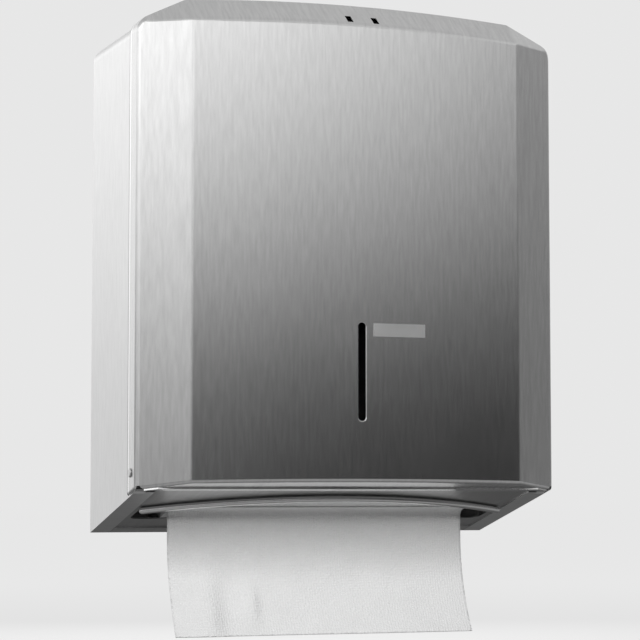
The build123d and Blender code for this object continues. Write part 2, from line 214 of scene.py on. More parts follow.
floor_paint, floor_tree, floor_shader = principled("floor_paint")
floor_paint.cycles.emission_sampling = "NONE"
floor_shader.inputs["Base Color"].default_value = grey(floor_grey)
floor_shader.inputs["Roughness"].default_value = floor_roughness
floor_shader.inputs["Specular IOR Level"].default_value = 0.0
floor_shader.inputs["Emission Color"].default_value = grey(pale_grey)
floor_distance = vector_math(floor_tree, "LENGTH", object_place(floor_tree)).outputs["Value"]
floor_fade = map_range(floor_tree, floor_distance, fade_distance, fade_glow, "SMOOTHSTEP")
floor_glow = math_node(floor_tree, "MULTIPLY", seen_rays_of(floor_tree), floor_fade)
floor_tree.links.new(floor_glow, floor_shader.inputs["Emission Strength"])
print("floor glow", fade_glow, "over metres", fade_distance)

# %% Floor that is open from below
floor_side = floor_tree.nodes.new("ShaderNodeNewGeometry")
floor_open = floor_tree.nodes.new("ShaderNodeBsdfTransparent")
floor_choice = floor_tree.nodes.new("ShaderNodeMixShader")
floor_output = floor_tree.nodes["Material Output"]
floor_tree.links.new(floor_side.outputs["Backfacing"], floor_choice.inputs["Fac"])
floor_tree.links.new(floor_shader.outputs[0], floor_choice.inputs[1])
floor_tree.links.new(floor_open.outputs[0], floor_choice.inputs[2])
floor_tree.links.new(floor_choice.outputs[0], floor_output.inputs["Surface"])
print("floor shaders:", floor_shader.name, "above,", floor_open.name, "below")

# %% Floor sheet
floor_drop = 0.13
floor_half = 30.0
floor_level = cad_low.z - floor_drop


def stage_sheet(name, points, faces, material):
    """A sheet of the studio, which is no part of the object."""
    mesh = bpy.data.meshes.new(name)
    mesh.from_pydata(points, [], faces)
    mesh.materials.append(material)
    sheet = new_object(name, mesh)
    return sheet


corner_signs = ((-1, -1), (1, -1), (1, 1), (-1, 1))
floor_corners = [(x * floor_half, y * floor_half, floor_level) for x, y in corner_signs]
stage_sheet("studio_floor", floor_corners, [(0, 1, 2, 3)], floor_paint)
print("floor at z =", round(floor_level, 3))

# %% [markdown]
# ## Lamps
# Paper is matt, so it shows where the light comes from. The key lamp is a large soft box high in
# front: the cover's overhang shades the top of the towel, and the light grows towards its hem.
# A second box overhead lights the towels inside when the cover is open, and a weak one behind
# keeps the back of the towel from going dark. Small lamps would draw hard shadows, so all three
# are wide. The steel doesn't show them: what it reflects is the tent of the next step.

# %% Soft boxes
object_middle = (cad_low + cad_high) / 2


def soft_box(name, place, width, height, power):
    """A rectangular area lamp that faces the object and lights matt surfaces."""
    lamp = bpy.data.lights.new(name, "AREA")
    lamp.shape = "RECTANGLE"
    lamp.size = width
    lamp.size_y = height
    lamp.energy = power
    box = new_object(name, lamp)
    box.location = place
    box.rotation_euler = (object_middle - Vector(place)).to_track_quat("-Z", "Y").to_euler()
    box.visible_camera = False
    box.visible_glossy = False
    print(name, "gives", power, "W")


soft_box("key_box", place=(-0.6, -2.1, 0.80), width=1.3, height=1.2, power=47)
soft_box("top_box", place=(0.2, -0.4, 2.0), width=1.6, height=1.2, power=36)
soft_box("back_box", place=(0.6, 2.0, 0.7), width=1.3, height=1.2, power=16)

# %% [markdown]
# ## Light tent
# Shiny objects are photographed in a tent of cloth, so that they reflect smooth tones and no
# room. This tent shows in reflections alone. Its wall is brightest high on the left and darkest
# low on the right of the camera, and that fall is what draws the bevels and the bow of the cover.
# Lamps that the steel could see would give hard patches instead, so the cloth glows by itself,
# and ramps of grey say how much in each direction.

# %% Cloth of the tent
tent_gain = 2.4


def grey_ramp(tree, factor, stops):
    """A ramp of greys over a factor, with its stops given as place and brightness."""
    ramp = tree.nodes.new("ShaderNodeValToRGB")
    ramp.color_ramp.interpolation = "EASE"
    elements = ramp.color_ramp.elements
    while len(elements) < len(stops):
        elements.new(1.0)
    for element, (place, bright) in zip(elements, stops):
        element.position = place
        element.color = grey(bright / tent_gain)
    tree.links.new(factor, ramp.inputs[0])
    return ramp.outputs["Color"]


def tent_cloth(name):
    """An emission material for the tent, its node tree and its emission shader."""
    material = bpy.data.materials.new(name)
    material.use_nodes = True
    tree = material.node_tree
    tree.nodes.remove(tree.nodes["Principled BSDF"])
    material.cycles.emission_sampling = "NONE"
    glow = tree.nodes.new("ShaderNodeEmission")
    tree.links.new(glow.outputs[0], tree.nodes["Material Output"].inputs["Surface"])
    return material, tree, glow


def tent_sheet(name, points, faces, material):
    """A sheet of the tent, which shows in reflections alone."""
    sheet = stage_sheet(name, points, faces, material)
    sheet.visible_camera = False
    sheet.visible_diffuse = False
    sheet.visible_shadow = False
    print(name, "has", len(faces), "faces")


# %% Tones of the wall
# Each stop is a direction in degrees, to the right from straight in front, and a brightness.
low_stops = [
    (-180, 0.95), (-150, 0.95), (-122, 0.20), (-95, 0.55), (-33, 0.40), (0, 0.05),
    (20, 0.015), (40, 0.0), (73, 0.22), (105, 0.32), (140, 0.75), (180, 0.95),
]
high_stops = [
    (-180, 1.36), (-150, 1.36), (-100, 1.45), (-57, 2.16), (-26, 1.42), (0, 1.70),
    (20, 1.25), (40, 0.61), (73, 0.42), (105, 0.50), (140, 1.10), (180, 1.36),
]


def parts_of(tree, vector):
    """The X, Y and Z outputs of a vector."""
    node = tree.nodes.new("ShaderNodeSeparateXYZ")
    tree.links.new(vector, node.inputs[0])
    return node.outputs["X"], node.outputs["Y"], node.outputs["Z"]


def around_wall(stops):
    """Stops with their directions turned into places on a ramp once around the wall."""
    return [(degrees / 360 + 0.5, bright) for degrees, bright in stops]


wall_cloth, wall_tree, wall_glow = tent_cloth("tent_wall")
wall_x, wall_y, wall_z = parts_of(wall_tree, object_place(wall_tree))
to_front = math_node(wall_tree, "MULTIPLY", wall_y, -1.0)
bearing = math_node(wall_tree, "ARCTAN2", wall_x, to_front)
wall_share = map_range(wall_tree, bearing, (-math.pi, math.pi))
low_tone = grey_ramp(wall_tree, wall_share, around_wall(low_stops))
high_tone = grey_ramp(wall_tree, wall_share, around_wall(high_stops))
print("tones around the wall:", len(low_stops), "low and", len(high_stops), "high")

# %% From the low tones to the high ones
# Heights are in metres, and on the left of the tent the change starts lower by left_lead.
climb_heights = (0.02, 0.84)
lead_reach = (0.0, 0.8)
left_lead = 0.10
upper_heights = (0.95, 1.4)
upper_grey = 0.70

lead = map_range(wall_tree, wall_x, lead_reach, (left_lead, 0.0))
climb = map_range(wall_tree, math_node(wall_tree, "ADD", wall_z, lead), climb_heights)
middle_tone = mix(wall_tree, "RGBA", climb, low_tone, high_tone)
upper_share = map_range(wall_tree, wall_z, upper_heights)
wall_tone = mix(wall_tree, "RGBA", upper_share, middle_tone, grey(upper_grey / tent_gain))
wall_tree.links.new(wall_tone, wall_glow.inputs["Color"])
wall_glow.inputs["Strength"].default_value = tent_gain
print("wall turns to its high tones at", climb_heights, "and to one grey at", upper_heights)

# %% Wall and roof of the tent
tent_radius = 2.6
tent_top = 2.4
tent_clearance = 0.004
tent_low = floor_level + tent_clearance
tent_sides = 72
roof_grey = 0.62

wall_points = []
for level in (tent_low, tent_top):
    for side in range(tent_sides):
        angle = 2 * math.pi * side / tent_sides
        wall_points.append((tent_radius * math.sin(angle), -tent_radius * math.cos(angle), level))
wall_faces = []
for side in range(tent_sides):
    follow = (side + 1) % tent_sides
    wall_faces.append((side, follow, follow + tent_sides, side + tent_sides))
tent_sheet("tent_wall", wall_points, wall_faces, wall_cloth)

roof_cloth, _, roof_glow = tent_cloth("tent_roof")
roof_glow.inputs["Color"].default_value = grey(roof_grey)
tent_sheet("tent_roof", wall_points[tent_sides:], [tuple(range(tent_sides))], roof_cloth)

# %% Ground cloth of the tent
# Each stop is a place from the front of the tent to its back, and a brightness.
ground_stops = [(0.0, 0.0), (0.20, 0.0), (0.30, 0.34), (0.60, 0.40), (1.0, 0.55)]
dark_middle = (0.17, 0.42, tent_low)
dark_reach = (0.45, 0.75)
dark_grey = 0.05

ground_cloth, ground_tree, ground_glow = tent_cloth("tent_ground")
ground_place = object_place(ground_tree)
_, ground_y, _ = parts_of(ground_tree, ground_place)
ground_share = map_range(ground_tree, ground_y, (-tent_radius, tent_radius))
pale_ground = grey_ramp(ground_tree, ground_share, ground_stops)
dark_distance = vector_math(ground_tree, "DISTANCE", ground_place, dark_middle).outputs["Value"]
dark_edge = map_range(ground_tree, dark_distance, dark_reach)
ground_tone = mix(ground_tree, "RGBA", dark_edge, grey(dark_grey), pale_ground)
ground_tree.links.new(ground_tone, ground_glow.inputs["Color"])
ground_glow.inputs["Strength"].default_value = tent_gain
tent_sheet("tent_ground", wall_points[:tent_sides], [tuple(range(tent_sides))], ground_cloth)

# %% [markdown]
# ## Grain of satin steel
# Satin sheet is brushed with a belt, which leaves fine scratches in one direction. They show as
# streaks of slightly different brightness, and they spread a reflection sideways. Real scratches
# would be far too many faces, so the streaks are noise that is stretched along the belt's
# direction. One node group makes them for every steel piece: on a flat panel the grain runs
# upwards, and on the wrapped case it runs round the case.

# %% Helpers for the groups


def node_group(name, inputs, outputs):
    """An empty shader node group with its float inputs and outputs, and its end nodes."""
    group = bpy.data.node_groups.new(name, "ShaderNodeTree")
    for label, value in inputs:
        socket = group.interface.new_socket(label, in_out="INPUT", socket_type="NodeSocketFloat")
        socket.default_value = value
    for label in outputs:
        group.interface.new_socket(label, in_out="OUTPUT", socket_type="NodeSocketFloat")
    start = group.nodes.new("NodeGroupInput")
    end = group.nodes.new("NodeGroupOutput")
    return group, start, end


def vector_of(tree, x, y, z):
    """A Combine XYZ node fed by outputs or numbers; returns its output."""
    node = tree.nodes.new("ShaderNodeCombineXYZ")
    for socket, value in zip(node.inputs, (x, y, z)):
        feed(tree, socket, value)
    return node.outputs[0]


def noise_value(tree, vector, scale, detail):
    """A Noise Texture's factor on a vector."""
    node = tree.nodes.new("ShaderNodeTexNoise")
    node.inputs["Scale"].default_value = scale
    node.inputs["Detail"].default_value = detail
    tree.links.new(vector, node.inputs["Vector"])
    return node.outputs["Fac"]


# %% Node group for the grain
side_limit = 0.7
streak_detail = 2.0
scratch_detail = 1.0
scratch_across_factor = 1.6
scratch_along_factor = 0.4

grain_group, grain_in, grain_out = node_group(
    "belt_grain",
    [("Lines Across", 700.0), ("Lines Along", 22.0), ("Around", 0.0)],
    ["Streak", "Scratch"],
)
grain_place = object_place(grain_group)
grain_facing = grain_group.nodes.new("ShaderNodeNewGeometry").outputs["Normal"]
facing_x, _, _ = parts_of(grain_group, grain_facing)
is_side = math_node(
    grain_group, "GREATER_THAN", math_node(grain_group, "ABSOLUTE", facing_x), side_limit
)


def grain_noise(across, along, detail):
    """Noise with so many lines to the metre across the belt's direction and along it."""
    around = grain_in.outputs["Around"]
    side_scale = mix(grain_group, "FLOAT", is_side, along, across)
    x_scale = mix(grain_group, "FLOAT", around, across, along)
    y_scale = mix(grain_group, "FLOAT", around, side_scale, across)
    scale = vector_of(grain_group, x_scale, y_scale, along)
    stretched = vector_math(grain_group, "MULTIPLY", grain_place, scale).outputs["Vector"]
    return noise_value(grain_group, stretched, 1.0, detail)


lines_across = grain_in.outputs["Lines Across"]
lines_along = grain_in.outputs["Lines Along"]
streak = grain_noise(lines_across, lines_along, streak_detail)
scratch_across = math_node(grain_group, "MULTIPLY", lines_across, scratch_across_factor)
scratch_along = math_node(grain_group, "MULTIPLY", lines_along, scratch_along_factor)
scratch = grain_noise(scratch_across, scratch_along, scratch_detail)
grain_group.links.new(streak, grain_out.inputs["Streak"])
grain_group.links.new(scratch, grain_out.inputs["Scratch"])
print(grain_group.name, "has", len(grain_group.nodes), "nodes")

# %% [markdown]
# ## Handling haze
# Steel that is wiped and touched is never evenly clean. Large soft patches are a little duller
# than the rest. Painted patches would need a picture, so this second group is low, slow noise
# that every steel finish adds to its roughness.

# %% Node group for the haze
haze_group, haze_in, haze_out = node_group("handling_haze", [("Patches", 14.0)], ["Haze"])
haze_noise = haze_group.nodes.new("ShaderNodeTexNoise")
haze_noise.inputs["Detail"].default_value = 4.0
haze_noise.inputs["Roughness"].default_value = 0.6
haze_group.links.new(object_place(haze_group), haze_noise.inputs["Vector"])
haze_group.links.new(haze_in.outputs["Patches"], haze_noise.inputs["Scale"])
haze_group.links.new(haze_noise.outputs["Fac"], haze_out.inputs["Haze"])
print(haze_group.name, "has", len(haze_group.nodes), "nodes")

# %% [markdown]
# ## Steel finishes
# All the steel takes the same recipe with its own values: a metallic shader whose colour follows
# the streaks, whose roughness follows the haze and a little of the streaks, and which gets a very
# low bump from the scratches. Roughness that followed the streaks alone would glitter. The
# shader's own anisotropy spreads highlights across the grain.

# %% Recipe for a steel
streak_share = 0.2
scratch_depth = 0.02 * MM


def group_node(tree, group, values):
    """A node group that is placed in a material with its own values; returns the node."""
    node = tree.nodes.new("ShaderNodeGroup")
    node.node_tree = group
    for label, value in values.items():
        node.inputs[label].default_value = value
    return node


def bump_normal(tree, height, strength, distance):
    """A Bump node on a height; returns its normal."""
    node = tree.nodes.new("ShaderNodeBump")
    node.inputs["Strength"].default_value = strength
    node.inputs["Distance"].default_value = distance
    tree.links.new(height, node.inputs["Height"])
    return node.outputs["Normal"]


def steel(name, greys, roughness, across, along, around=0.0, bump=0.12, spread=0.7):
    """A steel finish between two greys and two roughnesses, with its grain."""
    dark, light = greys
    smooth, rough = roughness
    lines = {"Lines Across": across, "Lines Along": along, "Around": around}
    material, tree, shader = principled(name)
    grain = group_node(tree, grain_group, lines)
    haze = group_node(tree, haze_group, {})
    colour = mix(tree, "RGBA", grain.outputs["Streak"], grey(dark), grey(light))
    dull = mix(tree, "FLOAT", streak_share, haze.outputs["Haze"], grain.outputs["Streak"])
    scratched = bump_normal(tree, grain.outputs["Scratch"], bump, scratch_depth)
    tree.links.new(colour, shader.inputs["Base Color"])
    tree.links.new(mix(tree, "FLOAT", dull, smooth, rough), shader.inputs["Roughness"])
    tree.links.new(scratched, shader.inputs["Normal"])
    shader.inputs["Metallic"].default_value = 1.0
    shader.inputs["Anisotropic"].default_value = spread
    print(name, "has", across, "lines to the metre across its grain")
    return material


# %% Steels of this object
cover_satin = steel("cover_satin", (0.57, 0.75), (0.22, 0.28), across=510, along=60, bump=0.02)
case_satin = steel(
    "case_satin", (0.66, 0.80), (0.27, 0.36), across=510, along=80, around=1.0, bump=0.02
)
mill_steel = steel("mill_steel", (0.46, 0.60), (0.34, 0.52), across=420, along=30, spread=0.3)
tray_satin = steel("tray_satin", (0.38, 0.50), (0.28, 0.38), across=420, along=30, spread=0.3)
rod_steel = steel("rod_steel", (0.60, 0.70), (0.12, 0.24), across=300, along=120, spread=0.0)
plate_satin = steel("plate_satin", (0.70, 0.86), (0.34, 0.50), across=1100, along=60, around=1.0)
rivet_steel = steel("rivet_steel", (0.52, 0.64), (0.22, 0.36), across=500, along=500, spread=0.0)
spring_blue = steel("spring_blue", (0.24, 0.34), (0.28, 0.44), across=380, along=40, spread=0.4)

# %% [markdown]
# ## Direction of the case's sheen
# An anisotropic shader spreads a highlight along its tangent. Without one it turns around the
# upright axis, and a flat top then shows a cone of light, as a turned part does. The case is
# brushed around its depth, so its tangent turns around that axis, and a quarter turn on the
# shader lays the sheen across the grain.

# %% Sheen across the grain of the case
quarter_turn = 0.25
case_tree = case_satin.node_tree
case_shader = case_tree.nodes["Principled BSDF"]
belt_direction = case_tree.nodes.new("ShaderNodeTangent")
belt_direction.direction_type = "RADIAL"
belt_direction.axis = "Y"
case_tree.links.new(belt_direction.outputs["Tangent"], case_shader.inputs["Tangent"])
case_shader.inputs["Anisotropic Rotation"].default_value = quarter_turn
print("sheen of the case turns around", belt_direction.axis)

# %% [markdown]
# ## Painted highlight and shadow at the joint
# The back edge of the cover's sides gets a painted highlight: a thin light line beside the joint,
# where a rounded edge would catch the light. In the joint itself a dark line is painted shadow,
# the shade of the gap between the cover and the case. Strips of mesh would stand off the cover,
# so masks on the distance from the joint mix the two greys into the cover's finish along that
# edge.

# %% Painted highlight and shadow along the joint
joint_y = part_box("front_cover")[1].y
# The light line is a painted highlight, and the dark line is painted shadow in the joint.
highlight_line_width = 4.2 * MM
highlight_line_grey = 0.95
joint_shadow_width = 1.5 * MM
joint_shadow_grey = 0.26
full_share = 0.7

cover_tree = cover_satin.node_tree
cover_shader = cover_tree.nodes["Principled BSDF"]
cover_colour = cover_shader.inputs["Base Color"].links[0].from_socket
_, edge_y, _ = parts_of(cover_tree, object_place(cover_tree))
# Each mask mixes a painted grey into the cover's colour: first the highlight, then the shadow.
for width, tone in ((highlight_line_width, highlight_line_grey), (joint_shadow_width, joint_shadow_grey)):
    painted_line_mask = map_range(cover_tree, edge_y, (joint_y - width, joint_y - full_share * width))
    cover_colour = mix(cover_tree, "RGBA", painted_line_mask, cover_colour, grey(tone))
cover_tree.links.new(cover_colour, cover_shader.inputs["Base Color"])
print("joint at y =", round(joint_y, 4))

# %% [markdown]
# ## Hinge washers
# The cover turns against two washers of natural nylon, an off-white plastic with a slight cloud
# in it. It isn't metal and has no grain, so it gets a plain shader, and the haze group with much
# smaller patches gives the cloud.

# %% Nylon for the hinge washers
nylon_patches = 300.0
nylon_dull = (0.78, 0.77, 0.72, 1)
nylon_clear = (0.88, 0.87, 0.84, 1)
nylon, nylon_tree, nylon_shader = principled("washer_nylon")
nylon_cloud = group_node(nylon_tree, haze_group, {"Patches": nylon_patches}).outputs["Haze"]
nylon_colour = mix(nylon_tree, "RGBA", nylon_cloud, nylon_dull, nylon_clear)
nylon_tree.links.new(nylon_colour, nylon_shader.inputs["Base Color"])
nylon_shader.inputs["Roughness"].default_value = 0.45
print("nylon has", nylon_patches, "patches to the metre")

# %% [markdown]
# ## Finishes of the rigid pieces
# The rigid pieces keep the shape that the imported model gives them, and only their material is
# new. Sheet that shows from outside is satin, plates inside are left as they came from the mill,
# the rod is drawn bright, pins and rivets are plain, and the latch and the clips are blued spring
# steel. One table of pieces and finishes keeps that in one place.

# %% Give the rigid pieces their finishes
finishes = {
    "front_cover": cover_satin,
    "case_wrap": case_satin,
    "back_plate": mill_steel,
    "towel_tray": tray_satin,
    "guide_left": mill_steel,
    "guide_right": mill_steel,
    "cover_catch": mill_steel,
    "lip_rod": rod_steel,
    "name_plate": plate_satin,
    "hinge_pin_left": rivet_steel,
    "hinge_pin_right": rivet_steel,
    "guide_rivets": rivet_steel,
    "latch_rivets": rivet_steel,
    "latch_root": spring_blue,
    "latch_blade": spring_blue,
    "hinge_clip_left": spring_blue,
    "hinge_clip_right": spring_blue,
    "hinge_washer_left": nylon,
    "hinge_washer_right": nylon,
}
for node, finish in finishes.items():
    nodes[node].material_slots[0].material = finish
print("rigid pieces with a finish:", len(finishes))

# %% [markdown]
# ## Paper
# A paper towel is soft white tissue with a fine pressed pattern of dots, so that it soaks up
# water. The dots are far smaller than the sheet, so they are a bump in the material: a
# Voronoi pattern gives the dots, and fine noise gives the fibres between them. The sheet's own
# UV map is in metres, so the dots keep their size where the sheet bends.

# %% Embossed paper
dot_pitch = 1.8 * MM
dot_scatter = 0.55
fibre_scale = 1800.0
fibre_detail = 4.0
fibre_share = 0.5
cloud_scale = 60.0
cloud_detail = 3.0
emboss_strength = 0.8
emboss_depth = 0.8 * MM
paper_greys = (0.83, 0.90)

paper, paper_tree, paper_shader = principled("embossed_paper")
paper_uv = paper_tree.nodes.new("ShaderNodeTexCoord").outputs["UV"]
dots = paper_tree.nodes.new("ShaderNodeTexVoronoi")
dots.voronoi_dimensions = "2D"
dots.inputs["Scale"].default_value = 1 / dot_pitch
dots.inputs["Randomness"].default_value = dot_scatter
paper_tree.links.new(paper_uv, dots.inputs["Vector"])
fibres = noise_value(paper_tree, paper_uv, fibre_scale, fibre_detail)
low_fibres = math_node(paper_tree, "MULTIPLY", fibres, fibre_share)
relief = math_node(paper_tree, "ADD", dots.outputs["Distance"], low_fibres)
embossed = bump_normal(paper_tree, relief, emboss_strength, emboss_depth)
cloud = noise_value(paper_tree, paper_uv, cloud_scale, cloud_detail)
paper_colour = mix(paper_tree, "RGBA", cloud, *[grey(tone) for tone in paper_greys])
paper_tree.links.new(embossed, paper_shader.inputs["Normal"])
paper_tree.links.new(paper_colour, paper_shader.inputs["Base Color"])
paper_shader.inputs["Roughness"].default_value = 0.92
paper_shader.inputs["Specular IOR Level"].default_value = 0.2
paper_shader.inputs["Sheen Weight"].default_value = 0.15
print("paper dots to the metre:", round(1 / dot_pitch))

# %% [markdown]
# ## Hanging towel
# The towel comes off the underside of the stack, bends down through the mouth, and its free end
# curls forward, because it was folded that way. It is one sheet, so it is built as a grid: each
# row is a step along the sheet's length, on the line that the solid towel follows, and a few
# shallow waves and dents are added across it. A cloth simulation could hang it too, but a sheet
# that hangs from a straight fold keeps this line. Solidify then gives it the thickness of tissue.

# %% Lengths of the towel
towel_low, towel_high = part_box("hanging_towel")
stack_low, stack_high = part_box("towel_stack")
tray_angle = math.radians(14.0)
stack_slope = math.tan(tray_angle)
solid_half_thickness = 0.4 * MM
stack_room = 0.5 * MM
towel_width = towel_high.x - towel_low.x
towel_exit_y = towel_high.y - solid_half_thickness
curl_start_z = case_floor
curl_forward = 20.0 * MM
curl_drop = 66.6 * MM
curl_radius = (curl_drop**2 + curl_forward**2) / (2 * curl_forward)
curl_angle = math.asin(curl_drop / curl_radius)
bend_radius = 4.5 * MM
bend_angle = math.pi / 2 - math.atan(stack_slope)
lying_length = 8.0 * MM


def under_stack(y):
    """Z just below the stack's underside at a Y."""
    return stack_low.z + stack_slope * (stack_high.y - y) - stack_room


bend_end_y = towel_exit_y - bend_radius * (1 - math.cos(bend_angle))
bend_end_z = under_stack(bend_end_y)
bend_start_z = bend_end_z - bend_radius * math.sin(bend_angle)
bend_length = bend_radius * bend_angle
straight_length = bend_start_z - curl_start_z
hanging_length = straight_length + curl_radius * curl_angle
towel_length = lying_length + bend_length + straight_length + curl_radius * curl_angle
print("towel in mm:", round(towel_width * 1000), "x", round(towel_length * 1000, 1))

# %% Line of the towel


def towel_line(distance):
    """Y and Z of the towel's middle line, at a distance along it from its top end."""
    if distance < lying_length:
        y = bend_end_y - (lying_length - distance) * math.sin(bend_angle)
        return y, under_stack(y)
    distance -= lying_length
    if distance < bend_length:
        angle = bend_angle - distance / bend_radius
        y = towel_exit_y - bend_radius * (1 - math.cos(angle))
        return y, bend_start_z + bend_radius * math.sin(angle)
    distance -= bend_length
    if distance < straight_length:
        return towel_exit_y, bend_start_z - distance
    angle = (distance - straight_length) / curl_radius
    y = towel_exit_y - curl_radius * (1 - math.cos(angle))
    return y, curl_start_z - curl_radius * math.sin(angle)


print("hem at y, z in mm:", [round(place / MM, 1) for place in towel_line(towel_length)])

# %% Waves and dents of the towel
# A wave has a height in mm, a length in metres for one radian, and a start. A dent has a height
# in mm, a place across the sheet with its reach to the left and right, and a place above the hem
# with its reach down and up, all in metres.
waves = ((0.45, 0.031, 0.6), (0.35, 0.017, -1.1))
crease = (3.6, (-0.050, 0.012, 0.005), (0.023, 0.013, 0.013))
corner_fold = (6.4, (-0.081, 0.020, 0.010), (0.016, 0.022, 0.026))


def soft_bump(value, middle, reach_before, reach_after):
    """A smooth hump of height 1 around a middle, with its own reach on each side."""
    reach = reach_before if value < middle else reach_after
    return math.exp(-(((value - middle) / reach) ** 2))


def towel_wave(x, distance):
    """How far the paper stands in front of its middle line."""
    from_hem = towel_length - distance
    free = max(0.0, 1 - from_hem / hanging_length)
    wave = sum(height * math.sin(x / length + start) for height, length, start in waves)
    stand = wave * free * free
    for height, across, above_hem in (crease, corner_fold):
        stand += height * soft_bump(x, *across) * soft_bump(from_hem, *above_hem)
    return stand * MM


print("hem at the crease stands out by mm:", round(towel_wave(crease[1][0], towel_length) / MM, 1))

# %% Towel sheet
columns = 150
rows = 64
towel_mesh = bpy.data.meshes.new("paper_towel")
towel_points = []
for row in range(rows + 1):
    distance = towel_length * row / rows
    y, z = towel_line(distance)
    for column in range(columns + 1):
        x = towel_width * (column / columns - 0.5)
        towel_points.append((x, y - towel_wave(x, distance), z))
towel_faces = []
for row in range(rows):
    for column in range(columns):
        first = row * (columns + 1) + column
        below = first + columns + 1
        towel_faces.append((first, below, below + 1, first + 1))
towel_mesh.from_pydata(towel_points, [], towel_faces)
towel_uv = towel_mesh.uv_layers.new(name="sheet_metres")
for corner in towel_mesh.loops:
    row, column = divmod(corner.vertex_index, columns + 1)
    towel_uv.data[corner.index].uv = (towel_width * column / columns, towel_length * row / rows)
towel_mesh.materials.append(paper)
towel_mesh.polygons.foreach_set("use_smooth", [True] * len(towel_mesh.polygons))
print("towel has", len(towel_mesh.polygons), "faces")

# %% Towel piece
towel = new_object("paper_towel", towel_mesh)
tissue = towel.modifiers.new("tissue_thickness", "SOLIDIFY")
tissue.thickness = 0.5 * MM
tissue.offset = 0.0
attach(towel, "towel")
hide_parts("hanging_towel")
print("tissue thickness in mm:", round(tissue.thickness / MM, 2))

# %% [markdown]
# ## Folded stack
# Each towel in the stack is folded once and lies in the fold of the next, so the front shows
# round folds and open edges in turn. One block with lines drawn on it would show no folds at its
# edges, so one pair of leaves is drawn as a mesh. A Geometry Nodes tree repeats it up the stack
# and shifts each pair a little, with a fixed seed.

# %% Outline of a folded leaf
stack_depth = stack_high.y - stack_low.y
stack_rise = stack_slope * stack_depth
stack_thickness = stack_high.z - stack_low.z - stack_rise
pair_count = 20
pair_pitch = stack_thickness / pair_count
leaf_thickness = pair_pitch / 2
fold_steps = 6
fold_share = 0.46
fold_radius = leaf_thickness * fold_share
split_depth = 4 * fold_radius
front_room = 0.6 * MM
side_room = 0.8 * MM
leaf_half = stack_depth / 2 - fold_radius - front_room
print("stack thickness in mm:", round(stack_thickness * 1000, 1))


def leaf_outline(base, fold_sign):
    """Side outline of one leaf: a round fold at one end and a split edge at the other."""
    points = []
    for step in range(fold_steps + 1):
        angle = -math.pi / 2 + math.pi * step / fold_steps
        fold_end = leaf_half + fold_radius * math.cos(angle)
        points.append((fold_sign * fold_end, base + fold_radius + fold_radius * math.sin(angle)))
    open_end = leaf_half + fold_radius
    split_end = leaf_half - split_depth
    upper_leaf = ((open_end, 2), (open_end, 1.25))
    lower_leaf = ((open_end, 0.75), (open_end, 0))
    for end, height in (*upper_leaf, (split_end, 1), *lower_leaf):
        points.append((-fold_sign * end, base + height * fold_radius))
    return points


# %% One pair of folded leaves
stack_middle_y = (stack_low.y + stack_high.y) / 2
stack_half_width = (stack_high.x - stack_low.x) / 2 - side_room
leaf_mesh = bpy.data.meshes.new("folded_leaves")
leaves = bmesh.new()
leaf_uv = leaves.loops.layers.uv.new("sheet_metres")
for base, fold_sign in ((0.0, 1), (leaf_thickness, -1)):
    ends = []
    for x in (-stack_half_width, stack_half_width):
        ring = []
        for offset, height in leaf_outline(base, fold_sign):
            y = stack_middle_y + offset
            z = stack_low.z + stack_slope * (stack_high.y - y) + height
            ring.append(leaves.verts.new((x, y, z)))
        ends.append(ring)
    count = len(ends[0])
    for index in range(count):
        follow = (index + 1) % count
        leaves.faces.new((ends[0][index], ends[0][follow], ends[1][follow], ends[1][index]))
    leaves.faces.new(ends[0][::-1])
    leaves.faces.new(ends[1])
bmesh.ops.recalc_face_normals(leaves, faces=leaves.faces)
for face in leaves.faces:
    is_end = abs(face.normal.x) > 0.5
    for corner in face.loops:
        place = corner.vert.co
        corner[leaf_uv].uv = (place.y, place.z) if is_end else (place.x, place.y)
leaves.to_mesh(leaf_mesh)
leaves.free()
stack = new_object("folded_towels", leaf_mesh)
print("a pair of leaves has", len(leaf_mesh.polygons), "faces")

# %% Helpers for Geometry Nodes


def geometry_tree(name, inputs):
    """A Geometry Nodes tree with a geometry in and out, and named inputs."""
    tree = bpy.data.node_groups.new(name, "GeometryNodeTree")
    tree.interface.new_socket("Geometry", in_out="INPUT", socket_type="NodeSocketGeometry")
    for label, kind in inputs:
        tree.interface.new_socket(label, in_out="INPUT", socket_type=kind)
    tree.interface.new_socket("Geometry", in_out="OUTPUT", socket_type="NodeSocketGeometry")
    return tree, tree.nodes.new("NodeGroupInput"), tree.nodes.new("NodeGroupOutput")


def run_geometry_tree(piece, tree, values):
    """Runs a tree on a piece and keeps the result as the piece's plain mesh."""
    modifier = piece.modifiers.new(tree.name, "NODES")
    modifier.node_group = tree
    for item in tree.interface.items_tree:
        if item.in_out == "INPUT" and item.name in values:
            modifier[item.identifier] = values[item.name]
    bpy.context.view_layer.update()
    evaluated = piece.evaluated_get(bpy.context.evaluated_depsgraph_get())
    made = bpy.data.meshes.new_from_object(evaluated)
    piece.modifiers.remove(modifier)
    piece.data = made
    print(piece.name, "has", len(made.polygons), "faces")


# %% Geometry Nodes that repeat the pair
stack_tree, stack_in, stack_out = geometry_tree(
    "repeat_leaves",
    [("Pairs", "NodeSocketInt"), ("Pitch", "NodeSocketFloat"), ("Shift", "NodeSocketFloat"),
     ("Seed", "NodeSocketInt"), ("Paper", "NodeSocketMaterial")],
)
line = stack_tree.nodes.new("GeometryNodeMeshLine")
shift = stack_tree.nodes.new("FunctionNodeRandomValue")
shift.data_type = "FLOAT_VECTOR"
shift.inputs["Min"].default_value = (-1, -1, 0)
shift.inputs["Max"].default_value = (1, 1, 0)
shift_scale = stack_tree.nodes.new("ShaderNodeVectorMath")
shift_scale.operation = "SCALE"
move = stack_tree.nodes.new("GeometryNodeSetPosition")
copies = stack_tree.nodes.new("GeometryNodeInstanceOnPoints")
realize = stack_tree.nodes.new("GeometryNodeRealizeInstances")
finish_leaf = stack_tree.nodes.new("GeometryNodeSetMaterial")
wire = stack_tree.links.new
wire(stack_in.outputs["Pairs"], line.inputs["Count"])
